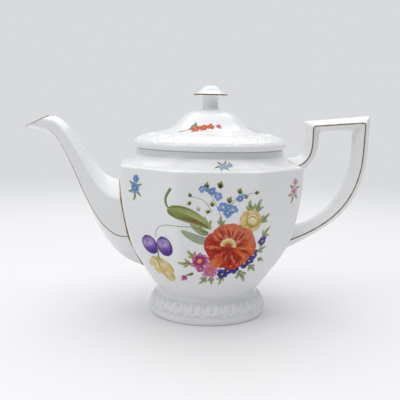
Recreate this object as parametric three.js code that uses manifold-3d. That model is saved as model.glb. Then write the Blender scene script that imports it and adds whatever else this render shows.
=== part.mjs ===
// A porcelain teapot with an eight-sided body, a six-sided spout, a squared loop handle,
// a flared round foot and a domed lid. Millimetres, +Z up. The handle points along +X and
// the spout along -X. The origin is on the table, below the middle of the overall length.

import * as THREE from "three";
import { mergeVertices } from "three/addons/utils/BufferGeometryUtils.js";
import Module from "manifold-3d";

const wasm = await Module();
wasm.setup();

// ---------------------------------------------------------------- driving dimensions

const ROUND_SEGMENTS = 48;          // facets round a turned piece
const TURN = 2 * Math.PI;
const WELD_DISTANCE = 1e-4;         // points closer than this are one vertex
const GAP = 0.3;                    // glaze joint between pieces that touch
const WALL = 4.5;                   // thickness of the pot's wall
const SPOUT_REACH = 139.5;          // lip of the spout, from the pot's axis
const HANDLE_REACH = 125.7;         // outer corner of the handle, from the pot's axis
const AXIS_X = (SPOUT_REACH - HANDLE_REACH) / 2;

// the eight-sided body
const BODY_FACES = 8;
const BODY_BASE_Z = 19.9;
const EDGE_Z = 115.6;               // height of the shoulder's edge
const FACE_BOTTOM_Z = 103;          // the faces are upright from here to the edge
const HALF_LENGTH = 68;             // axis to the faces that carry spout and handle
const DEPTH_RATIO = 0.973;          // the body is slightly shallower from front to back
const DIAGONAL_RATIO = 1.014;       // the four diagonal faces stand out a little further
const CORNER_SHARPNESS = 70;        // power of the rounded octagon: higher is crisper
const ROUND_BELOW_Z = 24;           // fully round below this height
const OCTAGON_ABOVE_Z = 62;         // fully eight-sided above this height
const FLOOR_THICKNESS = 5;
const ARRIS = 0.8;                  // width of the small bevel along each crisp edge
const BODY_LEVELS = 12;             // steps in height, from the foot up to the upright faces
const SHOULDER_STEPS = 5;

// half-length of the body against height, from the foot up to the upright faces
const BODY_CURVE = [
  [38.6, BODY_BASE_Z], [47, 30.9], [56.7, 48.9], [62.5, 67.6], [66.2, 86], [HALF_LENGTH, FACE_BOTTOM_Z],
];

// the collar that the lid sits on
const COLLAR_RADIUS = 56.6;
const COLLAR_BASE_Z = 123.7;
const COLLAR_TOP_Z = 128.2;
const NECK_RADIUS = 52.3;           // inside of the collar
const SHOULDER_HOLLOW = 1.7;        // how strongly the shoulder is hollowed

// the foot: its flared outside from the table up, and the hollow inside from the top down
const FOOT_TOP_Z = BODY_BASE_Z - GAP;
const FOOT_STAND = [44.7, 0];
const FOOT_OUTSIDE = [
  FOOT_STAND, [45.4, 2], [45.5, 5], [44.9, 8.6], [43.4, 12], [41.2, 14.6], [38.7, 15.8], [37.9, 17.2],
  [38.6, FOOT_TOP_Z],
];
const FOOT_HOLLOW = [[30, FOOT_TOP_Z], [30, 15.5], [34, 11], [37.5, 3], [38.1, 0]];

// the lid
const LID_SEAT_Z = COLLAR_TOP_Z + GAP;
const LID_TOP_Z = 157.6;
const LID_OUTSIDE = [
  [56.4, LID_SEAT_Z], [58.6, 129.6], [59.4, 131.3], [58.6, 133.2], [53.8, 136.4], [45.6, 139.1],
  [38.6, 140.1], [31.4, 142.5], [26.4, 146.4], [22, 151], [15.4, 155.5], [8.6, LID_TOP_Z], [0, LID_TOP_Z],
];
const LID_HOLLOW = [
  [0, 153.6], [12.6, 151.6], [18.6, 147.6], [23.4, 142.9], [29.6, 139], [37.6, 136.4], [45, 135.4],
  [48, 134], [48, LID_SEAT_Z],
];
const FLANGE_CLEARANCE = 1;         // round the flange, inside the neck
const FLANGE_THICKNESS = 3.6;
const FLANGE_DEPTH = 14;
const VENT_RADIUS = 1.6;            // steam hole in the dome
const VENT_DISTANCE = 19;           // of the hole from the axis, behind the knob
const VENT_FACETS = 12;
const VENT_DRILL_LENGTH = 40;       // long enough to pass right through the dome

// the knob
const KNOB_BASE_Z = LID_TOP_Z + GAP;
const KNOB_TOP_Z = 175.6;
const KNOB_OUTSIDE = [
  [0, KNOB_BASE_Z], [6.6, KNOB_BASE_Z], [6.1, 159.6], [5.8, 162.5], [6.1, 164.6], [7.5, 166.6], [11.8, 167.8],
  [12.8, 168.6], [12.2, 169.3], [8.9, 170.6], [6.6, 172.6], [5.6, 174.6], [4.2, KNOB_TOP_Z], [0, KNOB_TOP_Z],
];

// the spout: ridge along the top and along the underside, in the plane y = 0
const SPOUT_ROOT_WALL = 2.8;
const SPOUT_TIP_WALL = 1.8;
const SPOUT_RIDGE = [
  [-58, 104], [-75, 105.3], [-87.1, 116.2], [-99.1, 134.3], [-107.9, 145.1], [-115.3, 150.5], [-121.5, 150.9],
];
const SPOUT_KEEL = [
  [-44, 32], [-64.2, 40.2], [-81.2, 59.3], [-93.4, 84.4], [-105.3, 112.9], [-119, 135.3], [-SPOUT_REACH, 142],
];
const SPOUT_STATIONS = 22;
const SPOUT_ROOT_HALF_WIDTH = 21;
const SPOUT_TIP_HALF_WIDTH = 7.5;
const SPOUT_SWELL = 0.62;           // below 1, the width falls away faster near the root

// where the flanks' corners lie between ridge and keel, at both ends, and their shift halfway
const SPOUT_UPPER_CORNER = { root: 0.15, tip: 0.2, shift: 0.13 };
const SPOUT_LOWER_CORNER = { root: 0.52, tip: 0.75, shift: 0.21 };

// the strainer in the wall behind the spout
const STRAINER_Z = 74;
const STRAINER_WALL_X = 63.8;       // half-length of the body at that height
const STRAINER_SLOPE = Math.atan2(3.7, 18.4);   // lean of the wall there
const STRAINER_RADIUS = 17;
const STRAINER_THICKNESS = 3;
const STRAINER_HOLE_RADIUS = 1.8;
const STRAINER_RINGS = 2;           // rings of holes round the middle one
const STRAINER_PITCH = 7.2;
const STRAINER_HOLE_FACETS = 8;

// the handle: pairs of outer and inner points in the plane y = 0, and its half-width
const HANDLE_HALF_WIDTH = 10;
const HANDLE_FLAT = 3.2;            // half-width of the flat outer and inner strips
const HANDLE_CREASE = 0.46;         // where the flank's crease lies between outer and inner
const HANDLE_ROOT = [
  { outer: [52, 120.5], inner: [60, 103] },
  { outer: [62, 121.3], inner: [66, 105.8] },
  { outer: [68.4, 121.8], inner: [72.6, 110.2] },
  { outer: [72, 124.6], inner: [78.8, 116.2] },
  { outer: [73.4, 129], inner: [83, 123] },
  { outer: [73.5, 134], inner: [84.8, 130] },
];
const HANDLE_TOP = [
  { outer: [73.6, 149.2], inner: [85.6, 139.6] },
  { outer: [75.2, 150.1], inner: [87.6, 141.6] },
  { outer: [98, 152.3], inner: [98, 142.4] },
  { outer: [121, 154.5], inner: [110.4, 142.7] },
  { outer: [HANDLE_REACH, 154.2], inner: [112.4, 141.6] },
  { outer: [125.5, 150], inner: [112.9, 138.8] },
];
const BOW_OUTER = [[124.9, 132], [125.3, 74.3], [88.9, 64.1], [54.4, 45]];
const BOW_INNER = [[112.8, 128], [112.2, 96.3], [93.8, 67], [56.1, 65.7]];
const BOW_STATIONS = 14;

// ---------------------------------------------------------------- helpers

const GLAZE = { color: 0xf4f5f6, roughness: 0.12, metalness: 0 };
const BISQUE = { color: 0xece9e3, roughness: 0.55, metalness: 0 };

const toVector = ([x, z]) => new THREE.Vector2(x, z);

const blend = (from, to, t) => from + (to - from) * t;

function smoothStep(low, high, value) {
  return THREE.MathUtils.smoothstep(value, low, high);
}

function solidFrom(geometry) {
  geometry.deleteAttribute("normal");
  geometry.deleteAttribute("uv");
  const merged = mergeVertices(geometry, WELD_DISTANCE);
  return new wasm.Manifold(new wasm.Mesh({
    numProp: 3,
    vertProperties: new Float32Array(merged.attributes.position.array),
    triVerts: new Uint32Array(merged.index.array),
  }));
}

function geometryFrom(solid) {
  const mesh = solid.getMesh();
  const geometry = new THREE.BufferGeometry();
  geometry.setAttribute("position", new THREE.BufferAttribute(new Float32Array(mesh.vertProperties), 3));
  geometry.setIndex(new THREE.BufferAttribute(new Uint32Array(mesh.triVerts), 1));
  geometry.computeVertexNormals();
  return geometry;
}

// closed skin through rings of equally many points, with a fan over each end
function loft(rings) {
  const positions = [];
  const index = [];
  const count = rings[0].length;
  for (const ring of rings) {
    for (const point of ring) positions.push(point.x, point.y, point.z);
  }
  for (let row = 0; row + 1 < rings.length; row += 1) {
    for (let i = 0; i < count; i += 1) {
      const here = row * count + i;
      const beside = row * count + (i + 1) % count;
      index.push(here, beside, beside + count);
      index.push(here, beside + count, here + count);
    }
  }
  const addFan = (ring, firstVertex, flip) => {
    const centre = ring.reduce((sum, point) => sum.add(point), new THREE.Vector3()).divideScalar(count);
    const centreVertex = positions.length / 3;
    positions.push(centre.x, centre.y, centre.z);
    for (let i = 0; i < count; i += 1) {
      const here = firstVertex + i;
      const beside = firstVertex + (i + 1) % count;
      if (flip) index.push(centreVertex, beside, here);
      else index.push(centreVertex, here, beside);
    }
  };
  addFan(rings[0], 0, true);
  addFan(rings.at(-1), (rings.length - 1) * count, false);
  const geometry = new THREE.BufferGeometry();
  geometry.setAttribute("position", new THREE.Float32BufferAttribute(positions, 3));
  geometry.setIndex(index);
  geometry.computeVertexNormals();
  return geometry;
}

// turned piece: the profile is [radius, height] pairs, up the outside and down the inside
function turned(profile) {
  return new THREE.LatheGeometry(profile.map(toVector), ROUND_SEGMENTS).rotateX(Math.PI / 2);
}

function cylinder(radius, length, facets) {
  return new THREE.CylinderGeometry(radius, radius, length, facets);
}

// ---------------------------------------------------------------- body

// outline of a rounded octagon of half-width 1: the distance from its centre to its edge
function octagonRadius(angle) {
  let sum = 0;
  for (let face = 0; face < BODY_FACES; face += 1) {
    const halfWidth = face % 2 === 0 ? 1 : DIAGONAL_RATIO;
    const reach = Math.max(0, Math.cos(angle - face * TURN / BODY_FACES)) / halfWidth;
    sum += reach ** CORNER_SHARPNESS;
  }
  return sum ** (-1 / CORNER_SHARPNESS);
}

// one level of the body: squareness 0 is a circle and 1 is the octagon
function bodyRing(halfLength, z, squareness) {
  const depth = blend(1, DEPTH_RATIO, squareness);
  return Array.from({ length: ROUND_SEGMENTS }, (_, i) => {
    const angle = i * TURN / ROUND_SEGMENTS;
    const radius = halfLength * blend(1, octagonRadius(angle), squareness);
    return new THREE.Vector3(radius * Math.cos(angle), radius * Math.sin(angle) * depth, z);
  });
}

const bodyCurve = new THREE.SplineCurve(BODY_CURVE.map(toVector));

function wallRings(offset, lowestZ) {
  return bodyCurve.getPoints(BODY_LEVELS)
    .filter((point) => point.y >= lowestZ)
    .map((point) => bodyRing(point.x + offset, point.y, smoothStep(ROUND_BELOW_Z, OCTAGON_ABOVE_Z, point.y)));
}

// the shoulder, from the crisp edge of the octagon up to the round collar
function shoulderRings(offset, drop) {
  return Array.from({ length: SHOULDER_STEPS + 1 }, (_, i) => {
    const t = i / SHOULDER_STEPS;
    const radius = blend(HALF_LENGTH - ARRIS, COLLAR_RADIUS, t) + offset;
    const z = blend(EDGE_Z + ARRIS, COLLAR_BASE_Z, t ** SHOULDER_HOLLOW) - drop;
    return bodyRing(radius, z, 1 - t);
  });
}

function outerRings(offset) {
  return [
    ...wallRings(offset, 0),
    bodyRing(HALF_LENGTH + offset, EDGE_Z - ARRIS, 1),
    ...shoulderRings(offset, -offset),
  ];
}

// the body's outer shape as a solid, grown by the given amount, to cut its neighbours with
function bodyBlank(offset) {
  return solidFrom(loft([...outerRings(offset), bodyRing(COLLAR_RADIUS + offset, COLLAR_TOP_Z + offset, 0)]));
}

function strainerPlace(geometry) {
  return geometry.rotateY(-STRAINER_SLOPE).translate(WALL / 2 - STRAINER_WALL_X, 0, STRAINER_Z);
}

function bodyShell() {
  const inner = wallRings(-WALL, BODY_BASE_Z + FLOOR_THICKNESS);
  const profile = [
    ...outerRings(0),
    bodyRing(COLLAR_RADIUS, COLLAR_TOP_Z - ARRIS, 0),
    bodyRing(COLLAR_RADIUS - ARRIS, COLLAR_TOP_Z, 0),
    bodyRing(NECK_RADIUS + ARRIS, COLLAR_TOP_Z, 0),
    bodyRing(NECK_RADIUS, COLLAR_TOP_Z - ARRIS, 0),
    bodyRing(NECK_RADIUS, COLLAR_BASE_Z - WALL, 0),
    ...shoulderRings(-WALL, WALL).reverse().slice(1),
    ...inner.reverse(),
  ];
  const opening = strainerPlace(cylinder(STRAINER_RADIUS + GAP, 4 * WALL, ROUND_SEGMENTS).rotateZ(Math.PI / 2));
  return geometryFrom(solidFrom(loft(profile)).subtract(solidFrom(opening)));
}

function strainer() {
  const disc = new THREE.Shape().absarc(0, 0, STRAINER_RADIUS, 0, TURN);
  const places = [[0, 0]];
  for (let ring = 1; ring <= STRAINER_RINGS; ring += 1) {
    const count = 6 * ring;
    for (let i = 0; i < count; i += 1) {
      const angle = i * TURN / count;
      places.push([ring * STRAINER_PITCH * Math.cos(angle), ring * STRAINER_PITCH * Math.sin(angle)]);
    }
  }
  disc.holes = places.map(([y, z]) => {
    const hole = new THREE.Path();
    for (let i = 0; i < STRAINER_HOLE_FACETS; i += 1) {
      const angle = -i * TURN / STRAINER_HOLE_FACETS;
      const x = y + STRAINER_HOLE_RADIUS * Math.cos(angle);
      const up = z + STRAINER_HOLE_RADIUS * Math.sin(angle);
      if (i === 0) hole.moveTo(x, up);
      else hole.lineTo(x, up);
    }
    hole.closePath();
    return hole;
  });
  const plate = new THREE.ExtrudeGeometry(disc, {
    depth: STRAINER_THICKNESS, bevelEnabled: false, curveSegments: ROUND_SEGMENTS / 2,
  });
  plate.translate(0, 0, -STRAINER_THICKNESS / 2).rotateY(Math.PI / 2);
  return strainerPlace(plate);
}

// ---------------------------------------------------------------- foot

function foot() {
  return turned([...FOOT_OUTSIDE, ...FOOT_HOLLOW, FOOT_STAND]);
}

// ---------------------------------------------------------------- lid and knob

function lidShell() {
  const shell = turned([LID_HOLLOW.at(-1), ...LID_OUTSIDE, ...LID_HOLLOW]);
  const drill = cylinder(VENT_RADIUS, VENT_DRILL_LENGTH, VENT_FACETS)
    .rotateX(Math.PI / 2)
    .translate(0, VENT_DISTANCE, LID_TOP_Z);
  return geometryFrom(solidFrom(shell).subtract(solidFrom(drill)));
}

function lidFlange() {
  const outside = NECK_RADIUS - FLANGE_CLEARANCE;
  const inside = outside - FLANGE_THICKNESS;
  const top = LID_SEAT_Z - GAP;
  const bottom = top - FLANGE_DEPTH;
  return turned([
    [outside - ARRIS, bottom], [outside, bottom + ARRIS], [outside, top], [inside, top],
    [inside, bottom + ARRIS], [inside + ARRIS, bottom], [outside - ARRIS, bottom],
  ]);
}

function knob() {
  return turned(KNOB_OUTSIDE);
}

// ---------------------------------------------------------------- spout

// one six-sided section between a point of the ridge and the point of the keel opposite it
function spoutRing(ridge, keel, t, inset) {
  const middle = 4 * t * (1 - t);   // 0 at both ends, 1 halfway
  const corner = ({ root, tip, shift }) => blend(root, tip, t) + shift * middle;
  const upper = corner(SPOUT_UPPER_CORNER);
  const lower = corner(SPOUT_LOWER_CORNER);
  const span = ridge.distanceTo(keel);
  const halfWidth = blend(SPOUT_ROOT_HALF_WIDTH, SPOUT_TIP_HALF_WIDTH, t ** SPOUT_SWELL) - inset;
  const corners = [
    [inset / span, 0], [upper + inset / span / 2, halfWidth], [lower - inset / span / 2, halfWidth],
    [1 - inset / span, 0], [lower - inset / span / 2, -halfWidth], [upper + inset / span / 2, -halfWidth],
  ];
  return corners.map(([along, y]) => new THREE.Vector3(
    blend(ridge.x, keel.x, along), y, blend(ridge.y, keel.y, along),
  ));
}

// the spout's outer skin, or its bore with both ends run out past the openings
function spoutLoft(rootInset, tipInset) {
  const ridgeCurve = new THREE.SplineCurve(SPOUT_RIDGE.map(toVector));
  const keelCurve = new THREE.SplineCurve(SPOUT_KEEL.map(toVector));
  const rings = Array.from({ length: SPOUT_STATIONS + 1 }, (_, i) => {
    const t = i / SPOUT_STATIONS;
    return spoutRing(ridgeCurve.getPoint(t), keelCurve.getPoint(t), t, blend(rootInset, tipInset, t));
  });
  if (rootInset > 0) {
    const pastMouth = new THREE.Vector3(-1, 0, 6);
    const pastRoot = new THREE.Vector3(6, 0, 0);
    rings.push(rings.at(-1).map((point) => point.clone().add(pastMouth)));
    rings.unshift(rings[0].map((point) => point.clone().add(pastRoot)));
  }
  return solidFrom(loft(rings));
}

function spout() {
  return geometryFrom(spoutLoft(0, 0).subtract(spoutLoft(SPOUT_ROOT_WALL, SPOUT_TIP_WALL)).subtract(bodyBlank(GAP)));
}

// ---------------------------------------------------------------- handle

// one section: flat strips on the outside and the inside, and a crease along each flank
function handleRing(outer, inner) {
  const crease = outer.clone().lerp(inner, HANDLE_CREASE);
  const corners = [
    [outer, HANDLE_FLAT], [outer, -HANDLE_FLAT], [crease, -HANDLE_HALF_WIDTH],
    [inner, -HANDLE_FLAT], [inner, HANDLE_FLAT], [crease, HANDLE_HALF_WIDTH],
  ];
  return corners.map(([point, y]) => new THREE.Vector3(point.x, y, point.y));
}

function handle() {
  const fixed = [...HANDLE_ROOT, ...HANDLE_TOP]
    .map(({ outer, inner }) => handleRing(toVector(outer), toVector(inner)));
  const outerBow = new THREE.CubicBezierCurve(...BOW_OUTER.map(toVector)).getPoints(BOW_STATIONS);
  const innerBow = new THREE.CubicBezierCurve(...BOW_INNER.map(toVector)).getPoints(BOW_STATIONS);
  const bow = outerBow.map((outer, i) => handleRing(outer, innerBow[i]));
  return geometryFrom(solidFrom(loft([...fixed, ...bow])).subtract(bodyBlank(GAP)));
}

// ---------------------------------------------------------------- assembly

function piece(name, geometry, finish) {
  const mesh = new THREE.Mesh(geometry, new THREE.MeshStandardMaterial(finish));
  mesh.name = name;
  return mesh;
}

const pot = new THREE.Group();
pot.add(
  piece("body_shell", bodyShell(), GLAZE),
  piece("foot", foot(), GLAZE),
  piece("spout", spout(), GLAZE),
  piece("strainer", strainer(), BISQUE),
  piece("handle", handle(), GLAZE),
);

const lid = new THREE.Group();
lid.add(
  piece("lid_shell", lidShell(), GLAZE),
  piece("lid_flange", lidFlange(), GLAZE),
  piece("knob", knob(), GLAZE),
);

const teapot = new THREE.Group();
teapot.add(pot, lid);
teapot.position.x = AXIS_X;

export default teapot;
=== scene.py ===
"""A white porcelain teapot with moulded relief, painted flowers and gold lines.

Lengths in the drawing are millimetres from the pot's own axis, with z measured from the table.
place() turns them into the frame's metres.
"""
import math

import bpy
import numpy as np
from mathutils import Matrix, Vector
from mathutils.bvhtree import BVHTree


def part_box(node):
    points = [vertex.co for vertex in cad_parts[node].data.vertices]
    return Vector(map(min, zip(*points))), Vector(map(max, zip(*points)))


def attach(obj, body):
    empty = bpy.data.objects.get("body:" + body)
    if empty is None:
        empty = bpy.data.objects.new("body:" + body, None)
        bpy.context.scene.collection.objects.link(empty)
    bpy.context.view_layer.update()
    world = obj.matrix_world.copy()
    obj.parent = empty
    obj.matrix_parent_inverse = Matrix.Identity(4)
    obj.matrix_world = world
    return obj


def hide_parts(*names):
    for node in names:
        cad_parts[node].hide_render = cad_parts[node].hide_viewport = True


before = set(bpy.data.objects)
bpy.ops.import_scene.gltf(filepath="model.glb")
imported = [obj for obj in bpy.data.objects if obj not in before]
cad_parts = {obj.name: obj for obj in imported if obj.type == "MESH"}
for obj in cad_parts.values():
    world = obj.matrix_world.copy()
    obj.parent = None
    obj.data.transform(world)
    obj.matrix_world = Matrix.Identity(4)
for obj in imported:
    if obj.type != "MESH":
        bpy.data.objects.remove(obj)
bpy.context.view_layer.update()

scene = bpy.context.scene
TURN = 2 * math.pi

# ------------ the frame's sizes

foot_low, foot_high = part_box("foot")
body_low, body_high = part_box("body_shell")
knob_low, knob_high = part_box("knob")
_, lid_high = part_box("lid_shell")
HALF_LENGTH = 68             # of the body's widest part, along X
MM = (body_high[0] - body_low[0]) / 2 / HALF_LENGTH      # the frame's metres for one drawn millimetre
AXIS = Vector(((foot_low[0] + foot_high[0]) / 2, 0, 0))
BODY_BASE_Z = body_low[2] / MM
COLLAR_TOP_Z = body_high[2] / MM
FOOT_TOP_Z = foot_high[2] / MM
LID_TOP_Z = lid_high[2] / MM
KNOB_TOP_Z = knob_high[2] / MM


def place(point):
    return AXIS + Vector(point) * MM


# ------------ camera

CAMERA_PLACE = (-50.75, -497.46, 157.76)
CAMERA_FORWARD = (0.0872, 0.9863, -0.1398)
CAMERA_ROLL = math.radians(1.024)
CAMERA_LENS = 58.05


def add_camera():
    data = bpy.data.cameras.new("camera")
    data.lens = CAMERA_LENS
    data.clip_start = 0.01
    data.clip_end = 100
    camera = bpy.data.objects.new("camera", data)
    scene.collection.objects.link(camera)
    turn = Vector(CAMERA_FORWARD).to_track_quat("-Z", "Y").to_matrix()
    roll = Matrix.Rotation(CAMERA_ROLL, 3, "Z")
    camera.matrix_world = Matrix.Translation(place(CAMERA_PLACE)) @ (turn @ roll).to_4x4()
    scene.camera = camera


add_camera()

# ------------ materials

RAMP_SPAN = (0.3, 0.7)       # the part of the noise over which a ramp runs from one colour to the other
# the grey that the glaze is drawn towards: painted shade in the cove under the lid, partly pooled glaze and
# partly painted shade between relief forms
POOL_AND_SHADE_GREY = (0.58, 0.595, 0.62, 1)


def new_material(name):
    """A material, its node tree and the sockets of its shader."""
    material = bpy.data.materials.new(name)
    material.use_nodes = True
    tree = material.node_tree
    return material, tree, tree.nodes["Principled BSDF"].inputs


def add_node(tree, kind, **settings):
    """A new node. Each setting is the value of an input if there is one of that name, else an option."""
    node = tree.nodes.new(kind)
    for key, value in settings.items():
        if key in node.inputs:
            node.inputs[key].default_value = value
        else:
            setattr(node, key, value)
    return node


def object_noise(tree, scale, detail=2.0):
    """Noise fixed to the object, at the given number of features per metre."""
    coordinates = add_node(tree, "ShaderNodeTexCoord")
    noise = add_node(tree, "ShaderNodeTexNoise", Scale=scale, Detail=detail)
    tree.links.new(coordinates.outputs["Object"], noise.inputs["Vector"])
    return noise.outputs["Fac"]


def ramp(socket, tree, source, low, high):
    """Drives the socket from source, through a ramp between two colours."""
    node = add_node(tree, "ShaderNodeValToRGB")
    for element, position, colour in zip(node.color_ramp.elements, RAMP_SPAN, (low, high)):
        element.position = position
        element.color = colour
    tree.links.new(source, node.inputs["Fac"])
    tree.links.new(node.outputs["Color"], socket)


def grey(value):
    return (value, value, value, 1)


def bump(shader, tree, source, strength, distance):
    node = add_node(tree, "ShaderNodeBump", Strength=strength, Distance=distance)
    tree.links.new(source, node.inputs["Height"])
    tree.links.new(node.outputs["Normal"], shader["Normal"])


def glaze_material():
    """Clear glaze over white porcelain: slow tint changes, fine pits and a faint ripple in the gloss."""
    material, tree, shader = new_material("glaze")
    # painted shade: an attribute draws the glaze towards grey in the cove under the lid, and between relief
    # forms, where it is partly pooled glaze
    pooled_glaze_and_painted_shade = add_node(tree, "ShaderNodeAttribute", attribute_name="pooled_glaze_and_painted_shade")
    pool_and_shade_mix = add_node(tree, "ShaderNodeMix", data_type="RGBA")
    tree.links.new(pooled_glaze_and_painted_shade.outputs["Fac"], pool_and_shade_mix.inputs["Factor"])
    ramp(pool_and_shade_mix.inputs["A"], tree, object_noise(tree, 18, 3), (0.852, 0.858, 0.866, 1), (0.88, 0.884, 0.888, 1))
    pool_and_shade_mix.inputs["B"].default_value = POOL_AND_SHADE_GREY
    tree.links.new(pool_and_shade_mix.outputs["Result"], shader["Base Color"])
    ramp(shader["Roughness"], tree, object_noise(tree, 420, 1), grey(0.13), grey(0.2))
    bump(shader, tree, object_noise(tree, 90), 0.12, 0.0006)
    shader["IOR"].default_value = 1.52
    shader["Coat Weight"].default_value = 0.12
    shader["Coat Roughness"].default_value = 0.08
    return material


def bisque_material():
    """Unglazed porcelain, as on the lid's flange."""
    material, tree, shader = new_material("bisque")
    grain = object_noise(tree, 900, 4)
    ramp(shader["Base Color"], tree, grain, (0.78, 0.77, 0.745, 1), (0.86, 0.85, 0.83, 1))
    ramp(shader["Roughness"], tree, grain, grey(0.5), grey(0.65))
    bump(shader, tree, grain, 0.3, 0.0002)
    return material


def gold_material():
    """Burnished gold, brushed on: slightly uneven in colour and in polish."""
    material, tree, shader = new_material("gold")
    wear = object_noise(tree, 260, 3)
    ramp(shader["Base Color"], tree, wear, (0.10, 0.066, 0.030, 1), (0.32, 0.215, 0.10, 1))
    ramp(shader["Roughness"], tree, wear, grey(0.42), grey(0.24))
    shader["Metallic"].default_value = 1
    return material


def enamel_material():
    """Overglaze colour: the painted colour of each petal, broken by fine brush streaks."""
    material, tree, shader = new_material("enamel")
    paint = add_node(tree, "ShaderNodeAttribute", attribute_name="paint")
    streak = object_noise(tree, 700, 3)
    mix = add_node(tree, "ShaderNodeMix", data_type="RGBA", blend_type="MULTIPLY")
    mix.inputs["Factor"].default_value = 1
    tree.links.new(paint.outputs["Color"], mix.inputs["A"])
    ramp(mix.inputs["B"], tree, streak, grey(0.84), grey(1.0))
    tree.links.new(mix.outputs["Result"], shader["Base Color"])
    ramp(shader["Roughness"], tree, streak, grey(0.22), grey(0.34))
    shader["Specular IOR Level"].default_value = 0.25
    return material


GLAZE = glaze_material()
BISQUE = bisque_material()
GOLD = gold_material()
ENAMEL = enamel_material()

# ------------ mesh helpers


def skin_faces(row_count, column_count, closed_rows):
    """Quads over rings of column_count points; closed_rows joins the last ring to the first."""
    row = np.arange(row_count if closed_rows else row_count - 1)[:, None]
    column = np.arange(column_count)
    beside = (column + 1) % column_count
    low, high = row * column_count, (row + 1) % row_count * column_count
    quads = np.stack([low + column, low + beside, high + beside, high + column], axis=-1)
    return quads.reshape(-1, 4).tolist()


def fan_faces(first, count, centre, flip):
    """Triangles from a centre point to a ring."""
    sides = [(first + i, first + (i + 1) % count) for i in range(count)]
    return [(centre, *(side[::-1] if flip else side)) for side in sides]


def make_piece(name, points, faces, material, body, replaces=(), attributes=None):
    mesh = bpy.data.meshes.new(name)
    world = np.asarray(points, float) * MM + np.array(AXIS)
    mesh.from_pydata(world.tolist(), [], faces)
    mesh.polygons.foreach_set("use_smooth", [True] * len(mesh.polygons))
    mesh.materials.append(material)
    for key, values in (attributes or {}).items():
        values = np.asarray(values, float)
        if values.ndim == 1:
            mesh.attributes.new(key, "FLOAT", "POINT").data.foreach_set("value", values)
        else:
            rgba = np.concatenate([values, np.ones((len(values), 1))], axis=1)
            mesh.attributes.new(key, "FLOAT_COLOR", "POINT").data.foreach_set("color", rgba.ravel())
    mesh.update()
    piece = bpy.data.objects.new(name, mesh)
    scene.collection.objects.link(piece)
    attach(piece, body)
    if replaces:
        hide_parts(*replaces)
    return piece


def skin_piece(name, rings, material, body, closed=False, pooled_glaze_and_painted_shade=None, replaces=()):
    """One closed body through the rings. Open ends are covered with a fan."""
    rings = np.asarray(rings, float)
    row_count, column_count, _ = rings.shape
    points = rings.reshape(-1, 3)
    faces = skin_faces(row_count, column_count, closed)
    if not closed:
        last = (row_count - 1) * column_count
        points = np.concatenate([points, [rings[0].mean(axis=0)], [rings[-1].mean(axis=0)]])
        faces += fan_faces(0, column_count, len(points) - 2, True)
        faces += fan_faces(last, column_count, len(points) - 1, False)
    attributes = None
    if pooled_glaze_and_painted_shade is not None:
        depth = np.zeros(len(points))
        depth[:row_count * column_count] = np.asarray(pooled_glaze_and_painted_shade).ravel()
        attributes = {"pooled_glaze_and_painted_shade": depth}
    return make_piece(name, points, faces, material, body, replaces, attributes)


def catmull(points, count):
    """A smooth curve of count points through the given points."""
    points = np.asarray(points, float)
    last = len(points) - 1
    position = np.linspace(0, 1, count) * last
    index = np.minimum(position.astype(int), last - 1)
    w = (position - index)[:, None]
    before, start = points[np.maximum(index - 1, 0)], points[index]
    end, after = points[index + 1], points[np.minimum(index + 2, last)]
    slope_in, slope_out = (end - before) / 2, (after - start) / 2
    return (
        (2 * start - 2 * end + slope_in + slope_out) * w**3
        + (-3 * start + 3 * end - 2 * slope_in - slope_out) * w**2 + slope_in * w + start
    )


def relaxed(curve, passes):
    """The same curve with its bends evened out; its two ends stay where they are."""
    curve = curve.copy()
    for _ in range(passes):
        curve[1:-1] = (curve[:-2] + 2 * curve[1:-1] + curve[2:]) / 4
    return curve


def arc(centre, radius, start, end, count):
    angle = np.radians(np.linspace(start, end, count))
    return np.stack([centre[0] + radius * np.cos(angle), centre[1] + radius * np.sin(angle)], axis=1)


def bezier(points, count):
    t = np.linspace(0, 1, count)[:, None]
    a, b, c, d = np.asarray(points, float)
    return a * (1 - t)**3 + 3 * b * t * (1 - t)**2 + 3 * c * t**2 * (1 - t) + d * t**3


def smooth_step(low, high, value):
    t = np.clip((np.asarray(value, float) - low) / (high - low), 0, 1)
    return t * t * (3 - 2 * t)


def ring_angles(segments):
    return np.arange(segments) * TURN / segments


def spun(radius, level, segments):
    """Points round the axis, for radii and levels given by ring or by point."""
    angle = ring_angles(segments)
    return np.stack([radius * np.cos(angle), radius * np.sin(angle), level + 0 * angle], axis=-1)


def turned_rings(profile, segments):
    profile = np.asarray(profile, float)
    return spun(profile[:, 0:1], profile[:, 1:2], segments)


def unit(directions):
    return directions / np.linalg.norm(directions, axis=-1, keepdims=True)


def relief_rings(profile, height):
    """A turned skin pushed out along its normals by height, one row of it for each profile point."""
    slope = np.gradient(profile, axis=0)
    normal = unit(np.stack([slope[:, 1], -slope[:, 0]], axis=1))
    return spun(profile[:, 0:1] + normal[:, 0:1] * height, profile[:, 1:2] + normal[:, 1:2] * height,
                height.shape[1])


# ------------ the eight-sided body

BODY_SEGMENTS = 256
DEPTH_RATIO = 0.973
DIAGONAL_RATIO = 1.014
CORNER_SHARPNESS = 70
ROUND_BELOW_Z = 24
OCTAGON_ABOVE_Z = 62
FLOOR_CURVE = [(2.2, 0.5), (6, 0)]      # inward from the wall, up from the floor
WALL = 4.5
WALL_EVENING = 12            # passes that even out the bends of the wall's curve
FLOOR_THICKNESS = 5
EDGE_Z = 115.6
EDGE_FILLET = 2.1
EDGE_LIFT = 0.75             # of the fillet's top above EDGE_Z
FACE_BOTTOM_Z = 103
COLLAR_RADIUS = 56.6
COLLAR_BASE_Z = 123.7
COLLAR_LIP = 0.9
NECK_RADIUS = 52.3
SHOULDER_HOLLOW = 1.7
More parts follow.
